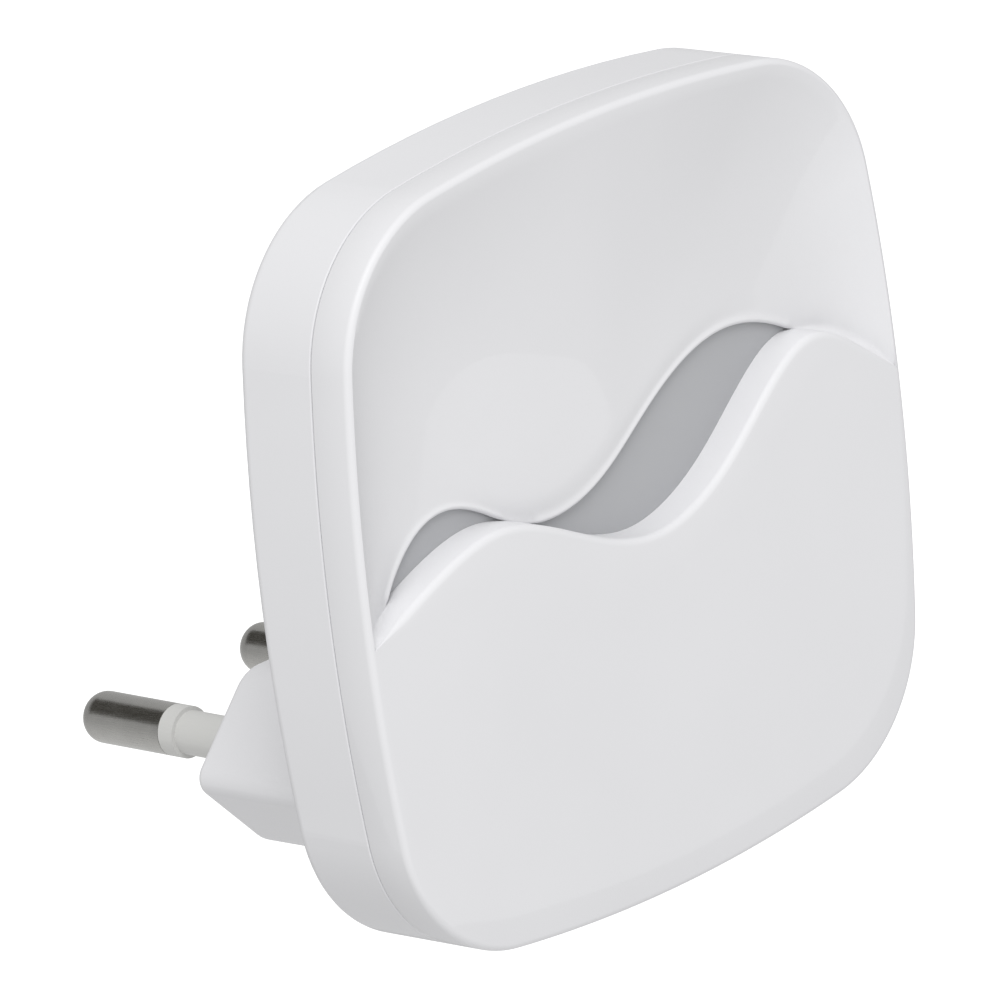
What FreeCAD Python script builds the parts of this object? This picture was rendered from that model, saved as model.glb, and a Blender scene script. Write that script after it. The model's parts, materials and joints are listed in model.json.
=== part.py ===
"""Plug-in night light: a wave-fronted case on a flat two-pin plug.

The case is laid out from the centre of its front panel, with +X to the right, +Z up and
depths running back along +Y. Each sub-part is then placed so that the origin of the whole
model is the centre of the plug's end face, between the two contact pins.
"""
import FreeCAD, Part
import math
import os
import Sketcher

Vector = FreeCAD.Vector

DIMENSIONS = {
    # case outline: a rounded square whose four sides bulge slightly
    "half_width": 30.1,
    "half_height": 29.6,
    "side_radius": 142.0,
    "corner_radius": 12.5,
    # depths behind the front panel
    "panel_skin": 1.6,
    "slot_depth": 3.0,
    "seam_depth": 3.6,
    "tongue_depth": 5.4,
    "floor_depth": 9.0,
    "case_depth": 10.6,
    "boss_reach": 31.5,
    # case walls
    "case_wall": 1.5,
    "tongue_gap": 0.15,
    "tongue_wall": 0.75,
    "scoop_shell": 1.3,
    "wave_wall": 1.2,
    "front_edge": 0.5,
    "seam_edge": 0.12,
    "rear_edge": 0.8,
    # snap hooks on the cover's tongue
    "hook_spread": 9.0,
    "hook_length": 3.0,
    "hook_height": 0.6,
    "hook_reach": 28.6,
    "hook_play": 0.12,
    "hook_setback": 0.4,
    "hook_root": 1.0,
    # scooped upper face
    "scoop_lip": 2.3,
    "scoop_tip": 3.0,
    "scoop_tip_reach": 24.0,
    "scoop_top_power": 2.4,
    "scoop_side_power": 8.0,
    # plug boss
    "boss_drop": 20.0,
    "boss_half_width": 17.65,
    "boss_half_height": 6.85,
    "boss_side_edge": 1.5,
    "boss_flat_edge": 3.5,
    "boss_end_edge": 0.6,
    "boss_wall": 1.5,
    "boss_end_wall": 1.8,
    # contact pins, measured from the plug's end face
    "pin_pitch": 18.6,
    "pin_toe_in": 1.66,
    "pin_radius": 2.0,
    "pin_length": 19.0,
    "pin_tip_edge": 1.6,
    "pin_head_radius": 1.8,
    "core_radius": 1.3,
    "rivet_radius": 1.0,
    "rivet_head_radius": 1.6,
    "rivet_head": 0.4,
    "sleeve_length": 10.1,
    "sleeve_radius": 1.7,
    "sleeve_gap": 0.02,
    "shoulder_length": 1.5,
    "shoulder_radius": 2.0,
    "shoulder_edge": 0.05,
    "flange_radius": 2.05,
    "end_hole_radius": 2.15,
    "carrier_hole_radius": 1.95,
    "carrier_length": 5.0,
    "carrier_gap": 0.15,
    "end_hole_play": 1.0,
    # contact strips
    "strip_gauge": 0.4,
    "strip_width": 3.0,
    "strip_leg": 13.0,
    "strip_foot": 2.0,
    "strip_tab_rise": 2.0,
    "strip_hole_shift": 0.2,
    "strip_hole_radius": 1.25,
    # circuit board and its screws
    "board_front": 7.0,
    "board_back": 8.0,
    "board_half_width": 25.0,
    "board_top": 17.0,
    "board_bottom": 25.5,
    "board_corner": 9.0,
    "screw_side": 20.5,
    "screw_top": 13.8,
    "screw_low": 9.5,
    "screw_radius": 0.8,
    "screw_play": 0.05,
    "screw_end_room": 0.2,
    "board_hole_play": 0.3,
    "screw_bite": 1.8,
    "screw_head_radius": 1.8,
    "screw_head": 1.2,
    "post_radius": 2.5,
    "post_root": 0.5,
    # light panel and reflector frame
    "panel_thickness": 1.2,
    "panel_half_width": 25.6,
    "panel_centre": 3.4,
    "panel_half_height": 8.0,
    "panel_corner": 3.0,
    "frame_wall": 1.0,
    "frame_inset": 0.2,
    # light-emitting diodes
    "led_half_width": 1.75,
    "led_half_height": 1.4,
    "led_height": 0.8,
    "led_well_radius": 1.1,
    "led_well_depth": 0.2,
    # leaded parts behind the board
    "lead_radius": 0.3,
    "lead_stub": 0.8,
    "lead_hole_radius": 0.45,
    "stand_off": 0.6,
    "part_height": 11.6,
    "film_half_width": 6.5,
    "film_half_height": 2.4,
    "film_drop": 17.4,
    "can_radius": 2.5,
    "can_side": 4.5,
    "can_drop": 22.7,
    "fusible_radius": 1.5,
    "fusible_front": 1.5,
    "fusible_back": 10.0,
}

# Points of the lower panel's wavy edge, left to right, as (x, z) from the case centre.
WAVE_EDGE = [
    (-34.0, -4.2), (-27.0, -1.1), (-21.0, 1.3), (-15.0, 2.4), (-6.6, -0.4), (1.5, -2.8),
    (8.9, -0.5), (15.0, 4.0), (20.7, 6.7), (26.5, 4.0), (34.0, -2.2),
]
# Points of the scooped face's lip, where it overhangs the light slot.
LIP_EDGE = [
    (-26.0, -1.4), (-23.9, 1.45), (-21.75, 3.4), (-18.4, 4.45), (-14.05, 3.1), (-10.7, 1.25), (-6.3, 0.55),
    (-1.5, 1.8), (3.55, 4.9), (8.65, 7.75), (13.4, 8.9), (17.35, 8.4), (24.0, 5.0),
]
OUTER_LIMIT = 34.0
SCOOP_FOOT = 8.0
SCOOP_STEPS_X = 44
SCOOP_STEPS_Z = 26

# Centres of the light-emitting diodes behind the slot, as (x, z) from the case centre.
LIGHT_EMITTERS = {"led_1": (-17.5, 2.2), "led_2": (-5.5, 1.0), "led_3": (6.5, 3.6), "led_4": (17.5, 5.4)}

# Where lead wires pass through the board, as (x, z) from the case centre.
CAPACITOR_LEADS = [(-5.0, -17.4), (5.0, -17.4)]
SMOOTHING_LEADS = [(-5.5, -22.7), (-3.5, -22.7)]
RESISTOR_LEADS = [(3.4, -22.6), (7.4, -22.6)]

# Surface-mounted parts on the board's front: centre x, centre z, half width, half height, thickness.
BOARD_BLOCKS = {
    "bridge_rectifier": (-9.0, -11.0, 2.35, 1.95, 2.5),
    "control_transistor": (1.0, -9.5, 1.45, 0.65, 1.1),
    "discharge_resistor": (8.0, -9.0, 1.6, 0.8, 0.6),
    "ballast_resistor": (8.0, -12.5, 1.6, 0.8, 0.6),
    "light_sensor": (-11.5, 4.6, 1.0, 0.65, 1.1),
}


def make_sheet(doc):
    sheet = doc.addObject("Spreadsheet::Sheet", "dims")
    for row, (name, size) in enumerate(DIMENSIONS.items(), start=1):
        sheet.set(f"A{row}", name)
        sheet.set(f"B{row}", str(size))
        sheet.setAlias(f"B{row}", name)
    doc.recompute()
    return sheet


def number(sheet, formula):
    """Value of a formula of sheet names, such as 'dims.case_wall * 2'."""
    return float(sheet.evalExpression(formula))


def place_in_row(thing):
    """Move a sub-part from the case's layout to the plug's end face."""
    thing.setExpression("Placement.Base.y", "-dims.boss_reach")
    thing.setExpression("Placement.Base.z", "dims.boss_drop")


# ---------------------------------------------------------------- sketches


def attach(sketch, body, depth, height="0"):
    """Put a sketch on its body's XZ plane, moved back by depth and up by height."""
    plane = next(part for part in body.Origin.OriginFeatures if part.Role == "XZ_Plane")
    sketch.AttachmentSupport = (plane, [""])
    sketch.MapMode = "FlatFace"
    sketch.setExpression("AttachmentOffset.Base.z", f"-({depth})")
    sketch.setExpression("AttachmentOffset.Base.y", height)


def bind(sketch, kind, places, formula):
    """Add a dimension whose value follows a formula of sheet names."""
    start = float(sketch.evalExpression(formula))
    index = sketch.addConstraint(Sketcher.Constraint(kind, *places, start))
    sketch.setExpression(f"Constraints[{index}]", formula)


def add_polygon(sketch, corners):
    """Closed outline through corners, each a pair of formulas."""
    points = [Vector(*(float(sketch.evalExpression(text)) for text in corner)) for corner in corners]
    first = sketch.GeometryCount
    count = len(points)
    for index in range(count):
        sketch.addGeometry(Part.LineSegment(points[index], points[(index + 1) % count]))
    for index in range(count):
        following = first + (index + 1) % count
        sketch.addConstraint(Sketcher.Constraint("Coincident", first + index, 2, following, 1))
        bind(sketch, "DistanceX", (-1, 1, first + index, 1), corners[index][0])
        bind(sketch, "DistanceY", (-1, 1, first + index, 1), corners[index][1])


def add_circle(sketch, across, up, radius):
    centre = Vector(float(sketch.evalExpression(across)), float(sketch.evalExpression(up)))
    circle = Part.Circle(centre, Vector(0, 0, 1), float(sketch.evalExpression(radius)))
    index = sketch.addGeometry(circle)
    bind(sketch, "Radius", (index,), radius)
    bind(sketch, "DistanceX", (-1, 1, index, 3), across)
    bind(sketch, "DistanceY", (-1, 1, index, 3), up)


def corner_centre(sheet):
    """Centre of the upper right corner arc, tangent inside both neighbouring side arcs."""
    across = number(sheet, "dims.side_radius - dims.half_width")
    up = number(sheet, "dims.side_radius - dims.half_height")
    reach = number(sheet, "dims.side_radius - dims.corner_radius")
    gap = math.hypot(across, up)
    inward = math.sqrt(reach ** 2 - gap ** 2 / 4)
    return Vector(-across / 2 + inward * up / gap, -up / 2 + inward * across / gap)


def outline_arcs(sheet, inset):
    """The eight arcs of the case outline as (centre, radius, start angle, end angle)."""
    side = number(sheet, f"dims.side_radius - ({inset})")
    corner = number(sheet, f"dims.corner_radius - ({inset})")
    across = number(sheet, "dims.side_radius - dims.half_width")
    up = number(sheet, "dims.side_radius - dims.half_height")
    centre = corner_centre(sheet)
    low = math.atan2(centre.y, centre.x + across)
    high = math.atan2(centre.y + up, centre.x)
    arcs = [(Vector(-across, 0), side, -low, low), (centre, corner, low, high)]
    arcs.append((Vector(0, -up), side, high, math.pi - high))
    arcs.append((Vector(-centre.x, centre.y), corner, math.pi - high, math.pi - low))
    return arcs + [(-middle, radius, first + math.pi, last + math.pi) for middle, radius, first, last in arcs]


def add_outline(sketch, sheet, inset="0"):
    """The case's rounded square, moved inwards by inset."""
    first = sketch.GeometryCount
    for centre, radius, start, end in outline_arcs(sheet, inset):
        sketch.addGeometry(Part.ArcOfCircle(Part.Circle(centre, Vector(0, 0, 1), radius), start, end))
    right, top, left, bottom = (first + step for step in (0, 2, 4, 6))
    for index in range(8):
        following = first + (index + 1) % 8
        sketch.addConstraint(Sketcher.Constraint("Tangent", first + index, 2, following, 1))
    for side, axis in ((right, -1), (top, -2), (left, -1), (bottom, -2)):
        sketch.addConstraint(Sketcher.Constraint("PointOnObject", side, 3, axis))
        bind(sketch, "Radius", (side,), f"dims.side_radius - ({inset})")
        bind(sketch, "Radius", (side + 1,), f"dims.corner_radius - ({inset})")
    bind(sketch, "DistanceX", (right, 3, -1, 1), "dims.side_radius - dims.half_width")
    bind(sketch, "DistanceX", (-1, 1, left, 3), "dims.side_radius - dims.half_width")
    bind(sketch, "DistanceY", (top, 3, -1, 1), "dims.side_radius - dims.half_height")
    bind(sketch, "DistanceY", (-1, 1, bottom, 3), "dims.side_radius - dims.half_height")


def add_boss_outline(sketch, inset):
    """The plug's flat hexagon with 45 degree end facets, moved inwards by inset.

    Its sharp points stand out far enough for their rounding to end at the boss's half width.
    """
    rise = f"dims.boss_half_height - ({inset})"
    point = f"dims.boss_half_width + (sqrt(2) - 1) * dims.boss_side_edge - ({inset}) * sqrt(2)"
    flat = f"{point} - ({rise})"
    add_polygon(sketch, [
        (f"{point}", "0"), (f"{flat}", rise), (f"-({flat})", rise),
        (f"-({point})", "0"), (f"-({flat})", f"-({rise})"), (f"{flat}", f"-({rise})"),
    ])


# ---------------------------------------------------------------- features


def new_body(doc, label):
    body = doc.addObject("PartDesign::Body", label)
    body.Label = label
    return body


def new_sketch(body, depth, height="0"):
    sketch = body.newObject("Sketcher::SketchObject", f"{body.Name}_outline")
    attach(sketch, body, depth, height)
    return sketch


def pad(body, sketch, length):
    """Grow a sketch backwards, along +Y."""
    feature = body.newObject("PartDesign::Pad", f"{body.Name}_pad")
    feature.Profile = sketch
    feature.Reversed = True
    feature.setExpression("Length", length)
    body.Document.recompute()
    return feature


def pocket(body, sketch, length, forwards=False):
    """Cut a sketch into its body, backwards along +Y unless forwards is set."""
    before = body.Shape.Volume
    feature = body.newObject("PartDesign::Pocket", f"{body.Name}_pocket")
    feature.Profile = sketch
    feature.Reversed = forwards
    feature.setExpression("Length", length)
    body.Document.recompute()
    if body.Shape.Volume >= before:
        raise RuntimeError(f"{feature.Name} cuts nothing")
    return feature


def edges_at(shape, depth):
    """Names of the edges that lie wholly at one depth."""
    return [f"Edge{index}" for index, edge in enumerate(shape.Edges, start=1)
            if all(abs(vertex.Point.y - depth) < 1e-6 for vertex in edge.Vertexes)]


def edges_along(shape, wanted=lambda point: True):
    """Names of the wanted edges among those that run straight back."""
    return [f"Edge{index}" for index, edge in enumerate(shape.Edges, start=1)
            if abs(edge.tangentAt(edge.FirstParameter).y) > 0.5 and wanted(edge.Vertexes[0].Point)]


def round_edges(body, names, radius):
    base = body.Tip
    feature = body.newObject("PartDesign::Fillet", f"{body.Name}_fillet")
    feature.Base = (base, names)
    feature.setExpression("Radius", radius)
    body.Document.recompute()
    return feature


def revolve(doc, label, profile):
    """Turn a profile of (radius, along) formula pairs about the +Y axis."""
    body = new_body(doc, label)
    sketch = body.newObject("Sketcher::SketchObject", f"{label}_profile")
    plane = next(part for part in body.Origin.OriginFeatures if part.Role == "XY_Plane")
    sketch.AttachmentSupport = (plane, [""])
    sketch.MapMode = "FlatFace"
    add_polygon(sketch, profile)
    feature = body.newObject("PartDesign::Revolution", f"{label}_turn")
    feature.Profile = sketch
    feature.ReferenceAxis = (sketch, ["V_Axis"])
    feature.Angle = 360
    doc.recompute()
    return body


def box(doc, name, low, high):
    """Part::Box between two corners, each three formulas."""
    thing = doc.addObject("Part::Box", name)
    for path, axis in (("Length", 0), ("Width", 1), ("Height", 2)):
        thing.setExpression(path, f"({high[axis]}) - ({low[axis]})")
        thing.setExpression(f"Placement.Base.{'xyz'[axis]}", str(low[axis]))
    return thing


def rod(doc, name, across, up, front, back, radius):
    """Part::Cylinder along +Y from depth front to depth back."""
    thing = doc.addObject("Part::Cylinder", name)
    thing.Placement = FreeCAD.Placement(Vector(), FreeCAD.Rotation(Vector(1, 0, 0), -90))
    thing.setExpression("Radius", str(radius))
    thing.setExpression("Height", f"({back}) - ({front})")
    thing.setExpression("Placement.Base.x", str(across))
    thing.setExpression("Placement.Base.y", str(front))
    thing.setExpression("Placement.Base.z", str(up))
    return thing


def fuse(doc, name, things):
    joined = doc.addObject("Part::MultiFuse", name)
    joined.Shapes = things
    return joined


def cut(doc, name, base, tool):
    remainder = doc.addObject("Part::Cut", name)
    remainder.Base = base
    remainder.Tool = tool
    return remainder


def common(doc, name, things):
    overlap = doc.addObject("Part::MultiCommon", name)
    overlap.Shapes = things
    return overlap


# ---------------------------------------------------------------- wave and scoop


def curve_through(points):
    curve = Part.BSplineCurve()
    curve.interpolate([Vector(x, z) for x, z in points])
    return curve


def wave_prism(doc, name, side, front, back, drop="0"):
    """All that lies above (side 1) or below (side -1) the wavy edge, between two depths."""
    sketch = doc.addObject("Sketcher::SketchObject", f"{name}_sketch")
    edge = curve_through(WAVE_EDGE)
    first, last = Vector(*WAVE_EDGE[0]), Vector(*WAVE_EDGE[-1])
    far_left = Vector(first.x, side * OUTER_LIMIT)
    far_right = Vector(last.x, side * OUTER_LIMIT)
    for shape in (edge, Part.LineSegment(last, far_right), Part.LineSegment(far_right, far_left),
                  Part.LineSegment(far_left, first)):
        sketch.addGeometry(shape)
    sketch.Placement = FreeCAD.Placement(Vector(), FreeCAD.Rotation(Vector(1, 0, 0), 90))
    sketch.setExpression("Placement.Base.y", front)
    sketch.setExpression("Placement.Base.z", f"-({drop})")
    return extrude(doc, name, sketch, f"({back}) - ({front})")


def extrude(doc, name, sketch, length):
    prism = doc.addObject("Part::Extrusion", name)
    prism.Base = sketch
    prism.DirMode = "Custom"
    prism.Dir = Vector(0, 1, 0)
    prism.Solid = True
    prism.setExpression("LengthFwd", length)
    return prism


def slot_lobe(doc, name, start, end):
    """One lobe of the light slot, between two meetings of the lip and the wavy edge."""
    wave, lip = curve_through(WAVE_EDGE), curve_through(LIP_EDGE)
    lip.segment(lip.parameter(start), lip.parameter(end))
    wave.segment(wave.parameter(start), wave.parameter(end))
    sketch = doc.addObject("Sketcher::SketchObject", f"{name}_sketch")
    sketch.addGeometry(lip)
    sketch.addGeometry(wave)
    sketch.Placement = FreeCAD.Placement(Vector(0, -1, 0), FreeCAD.Rotation(Vector(1, 0, 0), 90))
    return extrude(doc, name, sketch, "dims.slot_depth + 1")


def slot_lobes(doc):
    """Both lobes of the slot, which a neck divides where the lip touches the wavy edge."""
    wave, lip = curve_through(WAVE_EDGE), curve_through(LIP_EDGE)
    meetings = [Vector(point.X, point.Y) for point in lip.intersectCC(wave)]
    meetings.sort(key=lambda point: point.x)
    if len(meetings) != 4:
        raise RuntimeError(f"the lip meets the wavy edge {len(meetings)} times, not 4")
    return [slot_lobe(doc, "left_lobe", *meetings[:2]), slot_lobe(doc, "right_lobe", *meetings[2:])]


def outline_reach(sheet, x, z):
    """Distance from the case centre to its front edge rounding, towards (x, z)."""
    edge = number(sheet, "dims.front_edge * 0.6")
    size = math.hypot(x, z)
    heading = Vector(abs(x) / size, abs(z) / size)
    right, corner, top = outline_arcs(sheet, edge)[:3]
    angle = math.atan2(heading.y, heading.x)
    starts = [centre + Vector(math.cos(turn), math.sin(turn)) * radius
              for centre, radius, turn, _ in (corner, top)]
    bounds = [math.atan2(point.y, point.x) for point in starts]
    centre, radius = (right if angle < bounds[0] else corner if angle < bounds[1] else top)[:2]
    along = heading.dot(centre)
    return along + math.sqrt(along ** 2 - centre.dot(centre) + radius ** 2)


def scoop_depth(sheet, x, z):
    """Depth of the scooped face: nothing at the case's edge, falling steeply at the sides."""
    size = math.hypot(x, z)
    lip = number(sheet, "dims.scoop_lip")
    tip = number(sheet, "dims.scoop_tip")
    reach = number(sheet, "dims.scoop_tip_reach")
    deepest = lip + (tip - lip) * min(abs(x) / reach, 1.25) ** 2
    if size < 1e-6:
        return deepest
    side = (x / size) ** 2
    power = number(sheet, "dims.scoop_top_power") * (1 - side) + number(sheet, "dims.scoop_side_power") * side
    return deepest * (1 - (size / outline_reach(sheet, x, z)) ** power)


def scoop_tool(doc, sheet, name, behind="0"):
    """Everything in front of the scooped face, moved back by a distance."""
    rows = []
    for column in range(SCOOP_STEPS_X + 1):
        x = OUTER_LIMIT * (2 * column / SCOOP_STEPS_X - 1)
        heights = [-SCOOP_FOOT + (OUTER_LIMIT + SCOOP_FOOT) * step / SCOOP_STEPS_Z
                   for step in range(SCOOP_STEPS_Z + 1)]
        rows.append([Vector(x, scoop_depth(sheet, x, z), z) for z in heights])
    surface = Part.BSplineSurface()
    surface.interpolate(rows)
    tool = doc.addObject("Part::Feature", name)
    tool.Shape = surface.toShape().extrude(Vector(0, -3 * number(sheet, "dims.case_depth"), 0))
    tool.setExpression("Placement.Base.y", behind)
    return tool


# ---------------------------------------------------------------- front cover


def outline_prism(doc, sheet, name, inset, front, back):
    body = new_body(doc, name)
    sketch = new_sketch(body, front)
    add_outline(sketch, sheet, inset)
    pad(body, sketch, f"({back}) - ({front})")
    return body


def cover_blank(doc, sheet):
    body = outline_prism(doc, sheet, "cover_blank", "0", "0", "dims.seam_depth")
    round_edges(body, edges_at(body.Shape, 0), "dims.front_edge")
    round_edges(body, edges_at(body.Shape, number(sheet, "dims.seam_depth")), "dims.seam_edge")
    return body


def cover_tongue(doc, sheet):
    """Ring that slides inside the rear housing's rim."""
    outside = "dims.case_wall + dims.tongue_gap"
    body = new_body(doc, "cover_tongue")
    sketch = new_sketch(body, "dims.slot_depth")
    add_outline(sketch, sheet, outside)
    add_outline(sketch, sheet, f"{outside} + dims.tongue_wall")
    pad(body, sketch, "dims.tongue_depth - dims.slot_depth")
    return body


def hooks(doc, name, play):
    """Snap hooks on the left and right of the tongue, or their pockets when play is given."""
    things = []
    for side, direction in (("left", -1), ("right", 1)):
        for level, sign in (("upper", 1), ("lower", -1)):
            inner = "dims.hook_reach - dims.hook_root"
            outer = f"dims.hook_reach + {play}"
            ends = (inner, outer) if direction > 0 else (f"-({outer})", f"-({inner})")
            middle = f"{sign} * dims.hook_spread"
            low = (ends[0], f"dims.tongue_depth - dims.hook_setback - dims.hook_height - {play}",
                   f"{middle} - dims.hook_length / 2 - {play}")
            high = (ends[1], f"dims.tongue_depth - dims.hook_setback + {play}",
                    f"{middle} + dims.hook_length / 2 + {play}")
            things.append(box(doc, f"{name}_{side}_{level}", low, high))
    return things


def cover_hollows(doc, sheet):
    """Spaces behind the scooped face and the lower panel, leaving even walls."""
    inside = "dims.case_wall + dims.tongue_gap + dims.tongue_wall"
    rear = outline_prism(doc, sheet, "cover_rear_space", inside, "dims.slot_depth", "dims.seam_depth")
    upper = cut(doc, "cover_upper_space",
                outline_prism(doc, sheet, "cover_upper_block", inside, "0", "dims.slot_depth"),
                scoop_tool(doc, sheet, "scoop_back", "dims.scoop_shell"))
    above = common(doc, "cover_upper_hollow", [
        upper, wave_prism(doc, "above_wave_back", 1, "0", "dims.slot_depth")])
    lower = common(doc, "cover_lower_hollow", [
        outline_prism(doc, sheet, "cover_lower_block", inside, "dims.panel_skin", "dims.seam_depth"),
        wave_prism(doc, "below_wave", -1, "0", "dims.seam_depth", "dims.wave_wall")])
    return [rear, above, lower]


def front_cover(doc, sheet):
    """White shell with a flat lower panel, a wavy step and a scooped upper face."""
    scoop = common(doc, "scoop_cut", [
        scoop_tool(doc, sheet, "scoop_front"),
        wave_prism(doc, "above_wave", 1, "-1", "dims.seam_depth")])
    scooped = cut(doc, "cover_scooped", cover_blank(doc, sheet), scoop)
    hollowed = cut(doc, "cover_hollowed", scooped, fuse(doc, "cover_spaces", cover_hollows(doc, sheet)))
    slotted = cut(doc, "cover_slotted", hollowed, fuse(doc, "cover_slot", slot_lobes(doc)))
    cover = fuse(doc, "front_cover", [slotted, cover_tongue(doc, sheet)] + hooks(doc, "hook", "0"))
    cover.Label = "front_cover"
    return cover


# ---------------------------------------------------------------- rear housing


def screw_places():
    return [(f"{side} * dims.screw_side", up)
            for side in (-1, 1) for up in ("dims.screw_top", "-dims.screw_low")]


def housing_blank(doc, sheet):
    body = outline_prism(doc, sheet, "housing_blank", "0", "dims.seam_depth", "dims.case_depth")
    round_edges(body, edges_at(body.Shape, number(sheet, "dims.seam_depth")), "dims.seam_edge")
    round_edges(body, edges_at(body.Shape, number(sheet, "dims.case_depth")), "dims.rear_edge")
    space = new_sketch(body, "dims.seam_depth")
    add_outline(space, sheet, "dims.case_wall")
    pocket(body, space, "dims.floor_depth - dims.seam_depth")
    return body


def plug_boss(doc, sheet):
    """Six-sided tube that carries the pins out to the socket."""
    body = new_body(doc, "plug_boss")
    sketch = new_sketch(body, "dims.floor_depth", "-dims.boss_drop")
    add_boss_outline(sketch, "0")
    pad(body, sketch, "dims.boss_reach - dims.floor_depth")
    drop = number(sheet, "dims.boss_drop")
    middle = number(sheet, "dims.boss_half_height / 2")
    sides = edges_along(body.Shape, lambda point: abs(point.z + drop) < middle)
    round_edges(body, sides, "dims.boss_side_edge")
    flats = edges_along(body.Shape, lambda point: abs(point.z + drop) > middle)
    round_edges(body, flats, "dims.boss_flat_edge")
    round_edges(body, edges_at(body.Shape, number(sheet, "dims.boss_reach")), "dims.boss_end_edge")
    return body


def boss_space(doc):
    body = new_body(doc, "boss_space")
    sketch = new_sketch(body, "dims.floor_depth - 1", "-dims.boss_drop")
    add_boss_outline(sketch, "dims.boss_wall")
    pad(body, sketch, "dims.boss_reach - dims.boss_end_wall - dims.floor_depth + 1")
    return body


def pin_holes(doc, name, radius, front, back):
    """Round holes that follow the pins' slight toe-in, between two distances from the end face."""
    holes = []
    for side, direction in (("left", -1), ("right", 1)):
        hole = doc.addObject("Part::Cylinder", f"{name}_{side}")
        turn = FreeCAD.Rotation(Vector(0, 0, 1), direction * DIMENSIONS["pin_toe_in"])
        along = FreeCAD.Rotation(Vector(1, 0, 0), -90)
        offset = turn.multVec(Vector(0, float(hole.evalExpression(front)), 0))
        centre = Vector(direction * DIMENSIONS["pin_pitch"] / 2, DIMENSIONS["boss_reach"],
                        -DIMENSIONS["boss_drop"])
        hole.Placement = FreeCAD.Placement(centre + offset, turn.multiply(along))
        hole.setExpression("Radius", radius)
        hole.setExpression("Height", f"({back}) - ({front})")
        holes.append(hole)
    return holes


def rods_at_screws(doc, name, front, back, radius):
    """One rod on the line of each board screw."""
    return [rod(doc, f"{name}_{index}", across, up, front, back, radius)
            for index, (across, up) in enumerate(screw_places())]


def rear_housing(doc, sheet):
    """Rear shell of the case and the plug boss in one moulding."""
    posts = rods_at_screws(doc, "post", "dims.board_back", "dims.floor_depth + dims.post_root",
                           "dims.post_radius")
    shell = fuse(doc, "housing_shell", [housing_blank(doc, sheet), plug_boss(doc, sheet)] + posts)
    spaces = [boss_space(doc)]
    spaces += pin_holes(doc, "end_hole", "dims.end_hole_radius", "-dims.boss_end_wall - dims.end_hole_play",
                        "dims.end_hole_play")
    spaces += rods_at_screws(doc, "pilot", "dims.board_back - 1",
                             "dims.board_back + dims.screw_bite + dims.screw_end_room",
                             "dims.screw_radius + dims.screw_play")
    spaces += hooks(doc, "hook_pocket", "dims.hook_play")
    housing = cut(doc, "rear_housing", shell, fuse(doc, "housing_spaces", spaces))
    housing.Label = "rear_housing"
    return housing


# ---------------------------------------------------------------- plug


def place_on_pin(body, direction):
    """Stand a turned piece on the plug's end face with the pins' toe-in."""
    turn = FreeCAD.Rotation(Vector(0, 0, 1), direction * DIMENSIONS["pin_toe_in"])
    body.Placement = FreeCAD.Placement(Vector(), turn)
    body.setExpression("Placement.Base.x", f"{direction} * dims.pin_pitch / 2")
    return body


def contact_pin(doc, side, direction):
    """Nickel-plated pin: thick rounded contact, thin core, head in the carrier, riveted tail."""
    tail = "-dims.boss_end_wall - dims.carrier_length"
    body = revolve(doc, f"contact_pin_{side}", [
        ("0", "dims.pin_length"), ("dims.pin_radius", "dims.pin_length"),
        ("dims.pin_radius", "dims.sleeve_length"), ("dims.core_radius", "dims.sleeve_length"),
        ("dims.core_radius", "-dims.boss_end_wall"), ("dims.pin_head_radius", "-dims.boss_end_wall"),
        ("dims.pin_head_radius", tail), ("dims.rivet_radius", tail),
        ("dims.rivet_radius", f"{tail} - dims.strip_gauge"),
        ("dims.rivet_head_radius", f"{tail} - dims.strip_gauge"),
        ("dims.rivet_head_radius", f"{tail} - dims.strip_gauge - dims.rivet_head"),
        ("0", f"{tail} - dims.strip_gauge - dims.rivet_head"),
    ])
    round_edges(body, edges_at(body.Shape, DIMENSIONS["pin_length"]), "dims.pin_tip_edge")
    return place_on_pin(body, direction)


def pin_sleeve(doc, side, direction):
    """Insulating sleeve with a shoulder against the contact and a flange in the end wall."""
    bore = "dims.core_radius + dims.sleeve_gap"
    shoulder = "dims.sleeve_length - dims.shoulder_length"
    body = revolve(doc, f"pin_sleeve_{side}", [
        (bore, "-dims.boss_end_wall"), (bore, "dims.sleeve_length"),
        ("dims.shoulder_radius - dims.shoulder_edge", "dims.sleeve_length"),
        ("dims.shoulder_radius", "dims.sleeve_length - dims.shoulder_edge"),
        ("dims.shoulder_radius", shoulder),
        ("dims.sleeve_radius", f"{shoulder} - dims.shoulder_edge"), ("dims.sleeve_radius", "0"),
        ("dims.flange_radius", "0"), ("dims.flange_radius", "-dims.boss_end_wall"),
    ])
    return place_on_pin(body, direction)


def pin_carrier(doc):
    """Block behind the plug's end wall that holds both pins."""
    body = new_body(doc, "carrier_block")
    front = "dims.boss_reach - dims.boss_end_wall - dims.carrier_length"
    sketch = new_sketch(body, front, "-dims.boss_drop")
    add_boss_outline(sketch, "dims.boss_wall + dims.carrier_gap")
    pad(body, sketch, "dims.carrier_length")
    holes = fuse(doc, "carrier_holes", pin_holes(
        doc, "carrier_hole", "dims.carrier_hole_radius",
        "-dims.boss_end_wall - dims.carrier_length - dims.end_hole_play", "0"))
    carrier = cut(doc, "pin_carrier", body, holes)
    carrier.Label = "pin_carrier"
    return carrier


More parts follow.
